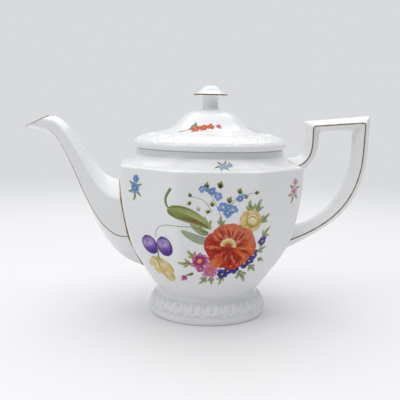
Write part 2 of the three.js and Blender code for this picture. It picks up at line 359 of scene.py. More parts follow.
# how strongly painted shade draws the glaze grey in the cove under the lid, over what height that begins,
# and how much of it is lost again by the collar's top
COVE_SHADE = 0.95
COVE_BLUR = 0.6
COVE_FADE = 0.65
STRAINER_CLEARANCE = 0.3
STRAINER_DRILL_LENGTH = 24
STRAINER_LEAN = math.radians(90 - 11.4)
BODY_CURVE = [
    (38.9, BODY_BASE_Z), (47, 30.9), (56.7, 48.9), (62.5, 67.6), (66.2, 86), (HALF_LENGTH, FACE_BOTTOM_Z),
]


def octagon_radius(angle):
    """Outline of a rounded octagon of half-width 1."""
    total = 0
    for face in range(8):
        half_width = 1 if face % 2 == 0 else DIAGONAL_RATIO
        reach = np.maximum(0, np.cos(angle - face * TURN / 8)) / half_width
        total = total + reach**CORNER_SHARPNESS
    return total**(-1 / CORNER_SHARPNESS)


def squareness(z):
    return smooth_step(ROUND_BELOW_Z, OCTAGON_ABOVE_Z, z)


def body_ring(half_length, z, square):
    radius = half_length * (1 + square * (octagon_radius(ring_angles(BODY_SEGMENTS)) - 1))
    ring = spun(radius, z, BODY_SEGMENTS)
    ring[:, 1] *= 1 + (DEPTH_RATIO - 1) * square
    return ring


def wall_profile(count):
    return relaxed(catmull(BODY_CURVE, count), WALL_EVENING)


def shoulder_levels(offset, drop, count):
    """(half-length, z, squareness) from the edge of the octagon up to the round collar."""
    t = np.linspace(0, 1, count)
    start = HALF_LENGTH - EDGE_FILLET
    half = start + (COLLAR_RADIUS - start) * t + offset
    low = EDGE_Z + EDGE_LIFT
    z = low + (COLLAR_BASE_Z - low) * t**SHOULDER_HOLLOW - drop
    return list(zip(half, z, 1 - t))


def outer_levels():
    levels = [(half, z, squareness(z)) for half, z in wall_profile(90)]
    fillet = arc((HALF_LENGTH - EDGE_FILLET, EDGE_Z - EDGE_FILLET + EDGE_LIFT), EDGE_FILLET, 0, 84, 9)
    levels += [(half, z, 1) for half, z in fillet]
    return levels + shoulder_levels(0, 0, 26)[1:]


def body_levels():
    levels = outer_levels()
    lip_z = COLLAR_TOP_Z - COLLAR_LIP
    outer_lip = arc((COLLAR_RADIUS - COLLAR_LIP, lip_z), COLLAR_LIP, 0, 90, 6)
    inner_lip = arc((NECK_RADIUS + COLLAR_LIP, lip_z), COLLAR_LIP, 90, 180, 6)
    levels += [(half, z, 0) for half, z in np.concatenate([outer_lip, inner_lip])]
    levels += [(NECK_RADIUS, COLLAR_BASE_Z - WALL, 0)]
    levels += shoulder_levels(-WALL, WALL, 12)[::-1][1:]
    floor_z = BODY_BASE_Z + FLOOR_THICKNESS
    inner = [(half - WALL, z, squareness(z)) for half, z in wall_profile(40) if z > floor_z + 2]
    levels += inner[::-1]
    return levels + [(inner[0][0] - inward, floor_z + up, 0) for inward, up in FLOOR_CURVE]


def body_reach(points, offset):
    """Below zero inside the body's outer surface grown by offset, above zero outside it."""
    x, y, z = np.moveaxis(points, -1, 0)
    levels = np.array(outer_levels())
    half = np.interp(z, levels[:, 1], levels[:, 0]) + offset
    square = np.interp(z, levels[:, 1], levels[:, 2])
    depth = 1 + (DEPTH_RATIO - 1) * square
    angle = np.arctan2(y / depth, x)
    return np.hypot(x, y / depth) - half * (1 + square * (octagon_radius(angle) - 1))


def surface_tree(piece):
    """The piece's surface as it is now, for finding where paint lies on it."""
    corners = [vertex.co.copy() for vertex in piece.data.vertices]
    return BVHTree.FromPolygons(corners, [tuple(face.vertices) for face in piece.data.polygons])


def drill(piece, centre, radius, depth, lean=0.0):
    """Cuts a round hole through a piece, upright unless it leans about the Y axis."""
    bpy.ops.mesh.primitive_cylinder_add(vertices=96, radius=radius, depth=depth, location=centre)
    cutter = bpy.context.object
    cutter.rotation_euler = (0, lean, 0)
    modifier = piece.modifiers.new("opening", "BOOLEAN")
    modifier.operation = "DIFFERENCE"
    modifier.solver = "EXACT"
    modifier.object = cutter
    bpy.context.view_layer.update()
    evaluated = piece.evaluated_get(bpy.context.evaluated_depsgraph_get())
    cut = bpy.data.meshes.new_from_object(evaluated)
    piece.modifiers.clear()
    piece.data = cut
    bpy.data.objects.remove(cutter)


def cut_strainer_opening(piece):
    """Opens the wall round the strainer, along the strainer's own axis."""
    low, high = (Vector(corner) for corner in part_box("strainer"))
    radius = (high.y - low.y) / 2 + STRAINER_CLEARANCE * MM
    drill(piece, (low + high) / 2, radius, STRAINER_DRILL_LENGTH * MM, STRAINER_LEAN)


def add_body():
    levels = body_levels()
    rings = [body_ring(*level) for level in levels]
    heights = np.array([z for _, z, _ in levels])
    # painted shade: the glaze is drawn grey in the cove under the lid, strongest from the collar's base and
    # fading towards its top
    low, high = COLLAR_BASE_Z - COVE_BLUR, COLLAR_BASE_Z + COVE_BLUR
    cove_painted_shade = COVE_SHADE * smooth_step(low, high, heights)
    cove_painted_shade *= 1 - COVE_FADE * smooth_step(high, COLLAR_TOP_Z, heights)
    pooled_glaze_and_painted_shade = np.repeat(cove_painted_shade[:, None], BODY_SEGMENTS, axis=1)
    piece = skin_piece("pot_body", rings, GLAZE, "pot", pooled_glaze_and_painted_shade=pooled_glaze_and_painted_shade, replaces=["body_shell"])
    tree = surface_tree(piece)
    cut_strainer_opening(piece)
    return tree


body_tree = add_body()

# ------------ moulded relief


def leaf_bump(u, v, height, u0, v0, degrees, length, width):
    """A raised leaf with a groove along its middle."""
    turn = math.radians(degrees)
    along = ((u - u0) * math.cos(turn) + (v - v0) * math.sin(turn)) / length
    across = (-(u - u0) * math.sin(turn) + (v - v0) * math.cos(turn)) / width
    taper = np.sqrt(np.clip(1 - (2 * along) ** 2, 0, 1)) * (1 - 0.5 * along)
    edge = np.clip(1 - (2 * across / np.maximum(taper, 0.05)) ** 2, 0, 1)
    inside = (np.abs(along) < 0.5) & (taper > 0.06)
    groove = 1 - 0.45 * np.exp(-(across * 9) ** 2)
    ribs = 1 - 0.06 * (0.5 + 0.5 * np.cos(along * 40 + np.abs(across) * 22))
    return np.where(inside, height * np.sqrt(edge) * groove * ribs, 0)


def berry_bump(u, v, height, u0, v0, radius, share=1.0):
    spread = np.clip(1 - ((u - u0) ** 2 + (v - v0) ** 2) / radius**2, 0, 1)
    return height * share * np.sqrt(spread)


def garland(across, segments, repeats, repeat, height, leaves, berries):
    """Highest of the motif's leaves and berries, with the motif repeated round the border."""
    u = np.mod(ring_angles(segments)[None, :] * repeats * repeat / TURN, repeat)
    total = np.zeros(np.broadcast(u, across).shape)
    for shift in (-repeat, 0, repeat):
        for form, rows in ((leaf_bump, leaves), (berry_bump, berries)):
            for row in rows:
                total = np.maximum(total, form(u + shift, across, height, *row))
    return total


def relief_pooling_and_painted_shade(height, full_height, depth):
    """How grey the glaze is drawn between the raised forms: partly pooled glaze, partly painted shade in the
    hollows.
    """
    return np.clip(depth * (1 - height / full_height), 0, 1)


# the foot

FOOT_SEGMENTS = 1200
FOOT_HOLLOW_RADIUS = 30
FOOT_BAND = (5.6, 15.4)
FOOT_OUTLINE = [
    (44.7, 0.5), (45.2, 1.6), (45.4, 4), (45.1, 6.4), (44.3, 9), (42.9, 11.8), (41, 14.2), (39, 15.8),
    (37.9, 17.1), (37.7, 18.4), (38.1, FOOT_TOP_Z),
]
FOOT_INSIDE = [
    (FOOT_HOLLOW_RADIUS, FOOT_TOP_Z), (FOOT_HOLLOW_RADIUS, 16), (30.8, 14.4), (33.6, 11), (36, 6.5),
    (37.5, 2), (38, 0.5), (38.6, 0), (44.1, 0),
]
# the motif's leaves as (along, up, degrees, length, width) and its berries as (along, up, radius)
FOOT_LEAVES = [
    (3.2, 6.2, 84, 8.4, 4.4), (7.2, 5.4, 108, 6.4, 3.4), (10.9, 6.3, 96, 8.2, 4.2), (8, 0.9, 8, 5.5, 1.5),
    (1.8, 0.8, -10, 5, 1.4),
]
FOOT_BERRIES = [
    (0.6, 2.6, 1.3), (5.4, 1.9, 1.1), (9, 2, 1.3), (12.9, 2.4, 1.1), (0.3, 7.4, 1), (7.3, 9, 0.9),
    (5.6, 4.1, 0.8),
]
FOOT_REPEATS = 20
FOOT_REPEAT = 14             # length of the motif, in its own measure
FOOT_STRETCH = 1.12
FOOT_RELIEF = 0.8
# how grey the glaze is drawn between the foot's raised forms: partly pooled glaze, partly painted shade
FOOT_POOLING_AND_SHADE = 0.3


def add_foot():
    outer = relaxed(catmull(FOOT_OUTLINE, 110), 6)
    level = outer[:, 1:2]
    band_low, band_high = FOOT_BAND
    height = garland((level - band_low) * FOOT_STRETCH, FOOT_SEGMENTS, FOOT_REPEATS, FOOT_REPEAT, FOOT_RELIEF,
                     FOOT_LEAVES, FOOT_BERRIES)
    fade = smooth_step(band_low - 0.6, band_low + 0.8, level) * (
        1 - smooth_step(band_high - 0.8, band_high + 0.6, level))
    height = height * fade
    plain = np.zeros((len(FOOT_INSIDE), FOOT_SEGMENTS))
    rings = np.concatenate([relief_rings(outer, height), turned_rings(FOOT_INSIDE, FOOT_SEGMENTS)])
    # greyer glaze in the foot's hollows: partly pooled glaze, partly painted shade
    pooled_glaze_and_painted_shade = np.concatenate([relief_pooling_and_painted_shade(height, FOOT_RELIEF, FOOT_POOLING_AND_SHADE) * fade, plain])
    skin_piece("pot_foot", rings, GLAZE, "pot", closed=True, pooled_glaze_and_painted_shade=pooled_glaze_and_painted_shade, replaces=["foot"])


add_foot()

# the lid

LID_SEGMENTS = 1200
LID_OUTLINE = [
    (54.8, 135.8), (50, 137.9), (45.6, 139.1), (41, 139.9), (36.4, 140.7), (31.4, 142.5), (26.6, 146.2),
    (22, 151), (17.8, 154.4), (13, 156.4), (8.6, 157.4),
]
LID_GLAZE_JOINT = 0.06
LID_LOW_Z = COLLAR_TOP_Z + LID_GLAZE_JOINT
LID_RIM = [(56, LID_LOW_Z), (57.6, 128.8), (58.9, 129.9), (59.3, 131.3), (58.9, 132.8), (57.4, 134.3)]
LID_INSIDE = [
    (0.5, 153.6), (6, 153.4), (12.6, 151.6), (18.6, 147.6), (23.4, 142.9), (29.6, 139), (37.6, 136.4),
    (45, 135.4), (47.8, 134.1),
]
LID_SEAT = [(48, LID_LOW_Z), (49, LID_LOW_Z), (55, LID_LOW_Z)]
LID_CAP = [(7, 157.55), (0.5, LID_TOP_Z)]
LID_LEAVES = [
    (3.6, 10.4, 62, 9, 4.8), (8.4, 12.6, 128, 7.6, 4), (13.4, 9.4, 40, 8.6, 4.4), (5.2, 3.6, -28, 7.6, 3.6),
    (14.4, 3.4, 24, 7.2, 3.2), (10.2, 16, 4, 6.4, 2.4),
]
# a fourth value is the berry's share of the full relief
LID_BERRIES = [
    (9.2, 6.6, 2.9, 1.1), (6.2, 7.4, 1.5), (12, 4.6, 1.6), (9.4, 2.6, 1.7), (1, 5.4, 1.7), (1, 8.2, 1.4),
    (16.4, 7.2, 1.8), (0.8, 13.2, 1.3), (13.6, 14.4, 1.2), (11.2, 10.8, 1.2), (3.2, 15.2, 1.1),
    (17, 11.4, 1.2), (17.2, 2.4, 1.2),
]
LID_REPEATS = 18
LID_REPEAT = 18
LID_RELIEF = 0.36
# how grey the glaze is drawn between the lid's raised forms: partly pooled glaze, partly painted shade
LID_POOLING_AND_SHADE = 0.07
LID_BORDER_RADIUS = 40.5
LID_BORDER_Z = 132.6
LID_BEADS = [(38, 0.42, 0.5), (35.8, 0.2, 0.35)]      # radius, height and spread of each
LID_BEADS_ABOVE_Z = 136
VENT_RADIUS = 1.6
VENT_DISTANCE = 19
VENT_DRILL_LENGTH = 16
VENT_DRILL_DROP = 5          # of the drill's middle below the lid's top


def add_lid():
    rim = relaxed(catmull(LID_RIM, 24), 3)
    top = relaxed(catmull(LID_OUTLINE, 120), 10)
    join = np.linspace(rim[-1], top[0], 10)[1:-1]
    outer = relaxed(np.concatenate([rim, join, top]), 4)
    radius, level = outer[:, 0:1], outer[:, 1:2]
    step = np.linalg.norm(np.diff(outer, axis=0), axis=1)
    along = np.concatenate([[0], np.cumsum(step)])[:, None]
    start = along[level > LID_BORDER_Z][0]
    height = garland(along - start, LID_SEGMENTS, LID_REPEATS, LID_REPEAT, LID_RELIEF,
                     LID_LEAVES, LID_BERRIES)
    fade = smooth_step(LID_BORDER_RADIUS, LID_BORDER_RADIUS + 1.2, radius)
    fade = fade * smooth_step(LID_BORDER_Z - 0.2, LID_BORDER_Z + 0.8, level)
    height = height * fade
    for ring, rise, spread in LID_BEADS:
        height = height + rise * np.exp(-((radius - ring) / spread) ** 2) * (level > LID_BEADS_ABOVE_Z)
    inside = catmull(LID_INSIDE, 40)
    inside = np.concatenate([inside, LID_SEAT])
    rings = np.concatenate([
        turned_rings(inside, LID_SEGMENTS), relief_rings(outer, height), turned_rings(LID_CAP, LID_SEGMENTS),
    ])
    pooled_glaze_and_painted_shade = np.zeros(rings.shape[:2])
    # greyer glaze in the lid border's hollows: partly pooled glaze, partly painted shade
    pooled_glaze_and_painted_shade[len(inside):len(inside) + len(outer)] = relief_pooling_and_painted_shade(height, LID_RELIEF, LID_POOLING_AND_SHADE) * fade
    piece = skin_piece("lid_dome", rings, GLAZE, "lid", pooled_glaze_and_painted_shade=pooled_glaze_and_painted_shade, replaces=["lid_shell"])
    tree = surface_tree(piece)
    vent = place((0, VENT_DISTANCE, LID_TOP_Z - VENT_DRILL_DROP))
    drill(piece, vent, VENT_RADIUS * MM, VENT_DRILL_LENGTH * MM)
    return tree


lid_tree = add_lid()

TURNED_SEGMENTS = 192
FLANGE_WALL = 3.6


def add_flange():
    low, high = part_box("lid_flange")
    outside = (high[1] - low[1]) / 2 / MM
    inside = outside - FLANGE_WALL
    bottom, top = low[2] / MM, high[2] / MM
    middle = (outside + inside) / 2
    half = (outside - inside) / 2
    profile = np.concatenate([
        arc((middle, bottom + half), half, 180, 360, 14), [(outside, top), (inside, top)],
    ])
    skin_piece("locating_ring", turned_rings(profile, TURNED_SEGMENTS), BISQUE, "lid",
               closed=True, replaces=["lid_flange"])


add_flange()

KNOB_BASE_Z = knob_low[2] / MM
KNOB_RIM_RADIUS = (knob_high[1] - knob_low[1]) / 2 / MM
KNOB_RIM_Z = 168.6
KNOB_RIM_ROUND = 0.65
KNOB_STEM = [
    (6.7, KNOB_BASE_Z), (6.4, KNOB_BASE_Z + 0.6), (5.9, 160.6), (5.7, 162.8), (6.1, 164.9), (7.6, 166.8),
    (10.6, 167.7),
]
KNOB_CAP = [
    (11.9, 169.3), (10, 170.3), (8.6, 171.4), (7.4, 172.7), (6.1, 174), (4.5, KNOB_TOP_Z - 0.6),
    (2.3, KNOB_TOP_Z - 0.1), (0.3, KNOB_TOP_Z),
]


def add_knob():
    stem = catmull(KNOB_STEM, 40)
    rim = arc((KNOB_RIM_RADIUS - KNOB_RIM_ROUND, KNOB_RIM_Z), KNOB_RIM_ROUND, -75, 75, 9)
    cap = catmull(KNOB_CAP, 40)
    profile = np.concatenate([[(0.3, KNOB_BASE_Z)], stem, rim, cap])
    skin_piece("lid_knob", turned_rings(profile, TURNED_SEGMENTS), GLAZE, "lid",
               replaces=["knob"])


add_knob()

# ------------ spout and handle

CORNER_STEPS = 7
LARGEST_ROUND = 0.45         # share of a side that the rounding of its corner may take
ROOT_SINK = 1.5              # how far the skins of spout and handle reach into the body


def corner_curve(before, corner, after, reach_before, reach_after, count):
    """A short curve that rounds a corner, from reach_before ahead of it to reach_after past it."""
    before, corner, after = np.array([before, corner, after], float)
    start = corner + unit(before - corner) * reach_before
    end = corner + unit(after - corner) * reach_after
    t = np.linspace(0, 1, count)[:, None]
    return start * (1 - t)**2 + 2 * corner * t * (1 - t) + end * t**2


def section_ring(top, bottom, corners, radii):
    """A closed section with rounded corners, given as (way down from top to bottom, across)."""
    corners = np.asarray(corners, float)
    outline = []
    for i, corner in enumerate(corners):
        before, after = corners[i - 1], corners[(i + 1) % len(corners)]
        reaches = [min(radii[i], LARGEST_ROUND * np.linalg.norm(end - corner)) for end in (before, after)]
        outline.append(corner_curve(before, corner, after, *reaches, CORNER_STEPS))
    outline = np.concatenate(outline)
    plane = top + (bottom - top) * (outline[:, 0:1] / np.linalg.norm(bottom - top))
    return np.stack([plane[:, 0], outline[:, 1], plane[:, 1]], axis=1)


def trimmed_lines(rings, offset, both_ends):
    """Rings whose lines start, and with both_ends also stop, at the body's surface grown by offset."""
    count = len(rings)
    middle = count // 2
    t = np.linspace(0, 1, count)
    result = np.empty_like(rings)
    for column, inside in enumerate(body_reach(rings, offset).T < 0):
        low_side = np.flatnonzero(inside[:middle])
        high_side = np.flatnonzero(inside[middle:]) if both_ends else []
        start = t[low_side[-1] + 1] if len(low_side) else 0
        end = t[middle + high_side[0] - 1] if len(high_side) else 1
        where = np.linspace(start, end, count)
        for k in range(3):
            result[:, column, k] = np.interp(where, t, rings[:, column, k])
    return result


# the spout

SPOUT_STATIONS = 260
SPOUT_EVENING = 60
SPOUT_REACH = -(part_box("spout")[0][0] - AXIS.x) / MM
SPOUT_RIDGE = [
    (-58, 104), (-75, 105.3), (-87.1, 116.2), (-99.1, 134.3), (-107.9, 145.1), (-115.3, 150.5),
    (-121.5, 150.9),
]
SPOUT_KEEL = [
    (-44, 32), (-64.2, 40.2), (-81.2, 59.3), (-93.4, 84.4), (-105.3, 112.9), (-119, 135.3),
    (-SPOUT_REACH, 142),
]
SPOUT_ROOT_HALF_WIDTH = 21
SPOUT_TIP_HALF_WIDTH = 7.5
SPOUT_SWELL = 0.62
SPOUT_ROOT_WALL = 2.8
SPOUT_TIP_WALL = 1.8
SPOUT_RIDGE_ROUND = 3.4
SPOUT_TIP_ROUND = 1.8
SPOUT_FLANK_ROUND = 2.4
SPOUT_LIP = [(0.15, 0.6), (0.5, 1), (0.85, 0.6)]      # share from outside to bore, share of the rise
SPOUT_LIP_RISE = (-0.28, 0, 0.62)
# where the upper and lower corners of the flanks lie between ridge and keel: at the root, at the tip,
# and how far they shift halfway
SPOUT_CORNERS = [(0.15, 0.2, 0.13), (0.52, 0.75, 0.21)]


def spout_rings(inset_root, inset_tip):
    ridge = relaxed(catmull(SPOUT_RIDGE, SPOUT_STATIONS), SPOUT_EVENING)
    keel = relaxed(catmull(SPOUT_KEEL, SPOUT_STATIONS), SPOUT_EVENING)
    rings = []
    for s, top, bottom in zip(np.linspace(0, 1, SPOUT_STATIONS), ridge, keel):
        middle = 4 * s * (1 - s)
        upper, lower = (root + (tip - root) * s + shift * middle for root, tip, shift in SPOUT_CORNERS)
        inset = inset_root + (inset_tip - inset_root) * s
        span = np.linalg.norm(bottom - top)
        share = inset / span
        half_width = SPOUT_ROOT_HALF_WIDTH + (SPOUT_TIP_HALF_WIDTH - SPOUT_ROOT_HALF_WIDTH) * s**SPOUT_SWELL
        half_width -= inset
        across = [0, half_width, half_width, 0, -half_width, -half_width]
        down = [share, upper + share / 2, lower - share / 2, 1 - share, lower - share / 2, upper + share / 2]
        corners = [(d * span, y) for d, y in zip(down, across)]
        soft = SPOUT_RIDGE_ROUND + (SPOUT_TIP_ROUND - SPOUT_RIDGE_ROUND) * s
        radii = [soft, SPOUT_FLANK_ROUND, SPOUT_FLANK_ROUND] * 2
        rings.append(section_ring(top, bottom, corners, radii))
    return np.array(rings)


def add_spout():
    outer = trimmed_lines(spout_rings(0, 0), -ROOT_SINK, False)
    bore = trimmed_lines(spout_rings(SPOUT_ROOT_WALL, SPOUT_TIP_WALL), -ROOT_SINK, False)
    lip = [outer[-1] * (1 - share) + bore[-1] * share + np.array(SPOUT_LIP_RISE) * rise
           for share, rise in SPOUT_LIP]
    rings = np.concatenate([outer, lip, bore[::-1]])
    skin_piece("pouring_spout", rings, GLAZE, "pot", closed=True, replaces=["spout"])
    return outer


spout_skin = add_spout()

# the handle

HANDLE_HALF_WIDTH = 10
HANDLE_FLAT = 3.2
HANDLE_CREASE = 0.46
HANDLE_ROUNDS = [1.6, 1.6, 1.8, 1.8, 1.8, 1.8]
HANDLE_REACH = (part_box("handle")[1][0] - AXIS.x) / MM
ROOT_OUTER = [(52, 120.5), (62, 121.3), (68.4, 121.8), (72, 124.6), (73.4, 129), (73.5, 134), (73.5, 139)]
ROOT_INNER = [(60, 103), (66, 105.8), (72.6, 110.2), (78.8, 116.2), (83, 123), (84.8, 130), (85.2, 135)]
BOW_OUTER = [(124.9, 132), (125.3, 74.3), (88.9, 64.1), (54.4, 45)]
BOW_INNER = [(112.8, 128), (112.2, 96.3), (93.8, 67), (56.1, 65.7)]
STRUT_CORNER = (73.5, 149.8)
TOP_CORNER = (HANDLE_REACH, 154.6)
OUTER_CORNER_RADIUS = 1.7
INNER_CORNER_RADIUS = 3.2
INNER_STRUT_CORNER = (85.5, 142)
INNER_TOP_CORNER = (113.2, 143)


def handle_path(root, strut_corner, top_corner, bow, radius):
    """One edge of the handle in the plane y = 0, with the same number of points on each stretch."""
    root_curve = catmull(root, 50)
    bow_curve = bezier(bow, 110)
    first = corner_curve(root[-1], strut_corner, top_corner, radius, radius, 14)
    second = corner_curve(strut_corner, top_corner, bow[0], radius, radius, 14)
    strut = np.linspace(root_curve[-1], first[0], 10)[1:-1]
    bar = np.linspace(first[-1], second[0], 30)[1:-1]
    drop = np.linspace(second[-1], bow_curve[0], 16)[1:-1]
    return relaxed(np.concatenate([root_curve, strut, first, bar, second, drop, bow_curve]), 2)


def add_handle():
    outer = handle_path(ROOT_OUTER, STRUT_CORNER, TOP_CORNER, BOW_OUTER, OUTER_CORNER_RADIUS)
    inner = handle_path(ROOT_INNER, INNER_STRUT_CORNER, INNER_TOP_CORNER, BOW_INNER, INNER_CORNER_RADIUS)
    rings = []
    for out, into in zip(outer, inner):
        span = np.linalg.norm(into - out)
        crease = HANDLE_CREASE * span
        corners = [
            (0, HANDLE_FLAT), (0, -HANDLE_FLAT), (crease, -HANDLE_HALF_WIDTH),
            (span, -HANDLE_FLAT), (span, HANDLE_FLAT), (crease, HANDLE_HALF_WIDTH),
        ]
        rings.append(section_ring(out, into, corners, HANDLE_ROUNDS))
    skin = trimmed_lines(np.array(rings), -ROOT_SINK, True)
    skin_piece("loop_handle", skin, GLAZE, "pot", replaces=["handle"])
    return skin


handle_skin = add_handle()

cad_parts["strainer"].material_slots[0].material = GLAZE

# ------------ painted flowers
#
# A patch is a small grid of flat points (across, up) with a colour at each point and a layer.
# A motif is a list of patches. paint_piece() lays a motif on the glaze as one thin enamel piece.

ENAMEL_LIFT = 0.08
ENAMEL_LAYER = 0.022
ENAMEL_SINK = 0.06
PATCH_CELL = 1.1
EDGE_SHARE = 0.05
PAINT_DISTANCE = 150         # from which paint is laid, measured from the piece's centre


def srgb(red, green, blue):
    share = np.array([red, green, blue]) / 255
    return np.where(share <= 0.04045, share / 12.92, ((share + 0.055) / 1.055)**2.4)


OLIVE, OLIVE_DARK, OLIVE_LIGHT = srgb(122, 136, 66), srgb(74, 86, 34), srgb(184, 190, 124)
SAGE, SAGE_LIGHT, SAGE_BLUE = srgb(124, 140, 92), srgb(178, 188, 142), srgb(160, 182, 180)
BROWN = srgb(142, 98, 56)
VIOLET, VIOLET_DARK, VIOLET_LIGHT = srgb(112, 66, 178), srgb(58, 20, 124), srgb(206, 180, 232)
YELLOW, YELLOW_PALE, OCHRE = srgb(238, 212, 124), srgb(250, 242, 202), srgb(204, 164, 84)
BLUE, BLUE_LIGHT, BLUE_DARK = srgb(118, 158, 222), srgb(184, 210, 244), srgb(66, 106, 184)
CORAL, CORAL_LIGHT, ORANGE = srgb(232, 96, 60), srgb(246, 142, 104), srgb(240, 116, 48)
RED, RED_DARK = srgb(210, 52, 30), srgb(146, 24, 16)
MAGENTA, PINK, PINK_LIGHT = srgb(190, 46, 124), srgb(222, 122, 176), srgb(244, 204, 222)
INDIGO, INDIGO_DARK, INDIGO_LIGHT = srgb(60, 42, 148), srgb(32, 18, 88), srgb(118, 104, 204)


def blend(tones, share):
    """The colours at the given shares of the way along a row of tones."""
    stops = np.linspace(0, 1, len(tones))
    return np.stack([np.interp(share, stops, channel) for channel in np.transpose(tones)], axis=-1)


def away(base, degrees, distance):
    """The point at a distance from base, in the given direction."""
    turn = math.radians(degrees)
    return base[0] + distance * math.cos(turn), base[1] + distance * math.sin(turn)


def gathered(motif, rows, *rest):
    """The patches of one motif, drawn once for each row of its first values."""
    return [patch for row in rows for patch in motif(*row, *rest)]


def petal(base, degrees, length, width, tones, layer=0, bend=0.0, skew=1.0, taper=0.0, streak=0.12, rim=None):
    """An oval patch from base outwards. skew above 1 puts its widest place nearer the tip."""
    rows = max(7, int(length / PATCH_CELL) + 1)
    columns = max(5, int(width / PATCH_CELL) + 1) | 1
    s = np.linspace(0, 1, rows)[:, None]
    w = np.linspace(-1, 1, columns)[None, :]
    oval = np.sqrt(np.clip(1 - (2 * s**skew - 1)**2, 0, 1)) * (1 - taper * s)
    side = w * width / 2 * np.maximum(oval, EDGE_SHARE) + bend * length * 4 * s * (1 - s)
    forward = s * length + 0 * w
    turn = math.radians(degrees)
    grid = np.stack([
        base[0] + forward * math.cos(turn) - side * math.sin(turn),
        base[1] + forward * math.sin(turn) + side * math.cos(turn),
    ], axis=-1)
    lines = 1 - streak * (0.5 + 0.5 * np.cos(w * 2.2 * columns + 3 * s))
    colour = blend(tones, s + 0 * w) * lines[..., None]
    if rim is not None:
        edge = np.maximum(np.abs(w), np.abs(2 * s - 1))**4
        colour = colour + (rim - colour) * edge[..., None]
    return [(grid, colour, layer)]


def leaf(base, degrees, length, width, light=OLIVE_LIGHT, dark=OLIVE_DARK, layer=0, bend=0.08):
    """A pointed leaf, lighter along its upper half, with a dark vein."""
    middle = (light + dark) / 2
    blade = petal(base, degrees, length, width, [dark, middle, light], layer, bend, 0.8, 0.35, 0.2)
    shine = petal(base, degrees, length * 0.9, width * 0.4, [middle, light, light], layer + 1,
                  bend + 0.06, 0.8, 0.4)
    return blade + shine + petal(base, degrees, length * 0.92, 0.45, [dark, dark], layer + 2, bend)


def leaf_spray(base, degrees, length, width, tones, layer):
    """A few soft oval leaflets along a short stalk."""
    light, dark = tones
    patches = []
    for start, spread, share in ((0.3, 0, 0.7), (0.2, 46, 0.5), (0.1, -44, 0.54), (0, 12, 0.4)):
        patches += petal(away(base, degrees, start * length), degrees + spread, length * share, width * 0.62,
                         [dark, light, light], layer, 0.08, 1.1, 0.2, 0.3)
    return patches


def dot(centre, radius, tones, layer):
    return petal((centre[0], centre[1] - radius), 90, 2 * radius, 2 * radius, tones, layer, streak=0.05)


def stem(points, width, tones, layer=0):
    """A brush line through the points, thinner towards its end."""
    path = catmull(points, 12 * len(points))
    along = np.gradient(path, axis=0)
    across = unit(np.stack([-along[:, 1], along[:, 0]], axis=1))
    share = np.linspace(1, 0.45, len(path))[:, None, None]
    grid = path[:, None, :] + across[:, None, :] * np.array([-0.5, 0, 0.5])[None, :, None] * width * share
    colour = blend(tones, np.linspace(0, 1, len(path)))
    return [(grid, np.repeat(colour[:, None, :], 3, axis=1), layer)]


def blossom(centre, radius, tones, heart, layer=4, petals=5, turn=18, width=1.0):
    """Round petals of slightly uneven length and tone about a small heart."""
    patches = []
    for i in range(petals):
        sway = math.sin(2.4 * i + centre[0])
        degrees = turn + 360 * i / petals + 7 * sway
        tinted = [tone * (0.93 + 0.07 * sway) for tone in tones]
        patches += petal(centre, degrees, radius * (1 + 0.14 * sway), radius * width * 0.92, tinted,
                         layer + i % 3, skew=1.5, streak=0.3, rim=tinted[-2] if len(tones) > 2 else None)
    return patches + dot(centre, radius * 0.22, heart, layer + 4)


def bud(base, degrees, length, tones=(OLIVE_DARK, OLIVE, OLIVE_LIGHT), layer=2):
    """A few loose ovals of different length, opening from base."""
    patches = []
    for spread, share in ((-34, 0.66), (-6, 1.0), (24, 0.8)):
        patches += petal(base, degrees + spread, length * share, length * 0.36, tones, layer,
                         skew=1.2, streak=0.3)
    return patches


def daisy(centre, radius, outer, inner, heart, layer):
    patches = blossom(centre, radius, [inner, outer, PINK_LIGHT], [heart, heart], layer, 9, 10, 0.58)
    patches += blossom(centre, radius * 0.66, [inner, outer, outer], [heart, heart], layer + 5, 7, 30, 0.6)
    return patches + dot(centre, radius * 0.26, [OCHRE, heart], layer + 11)


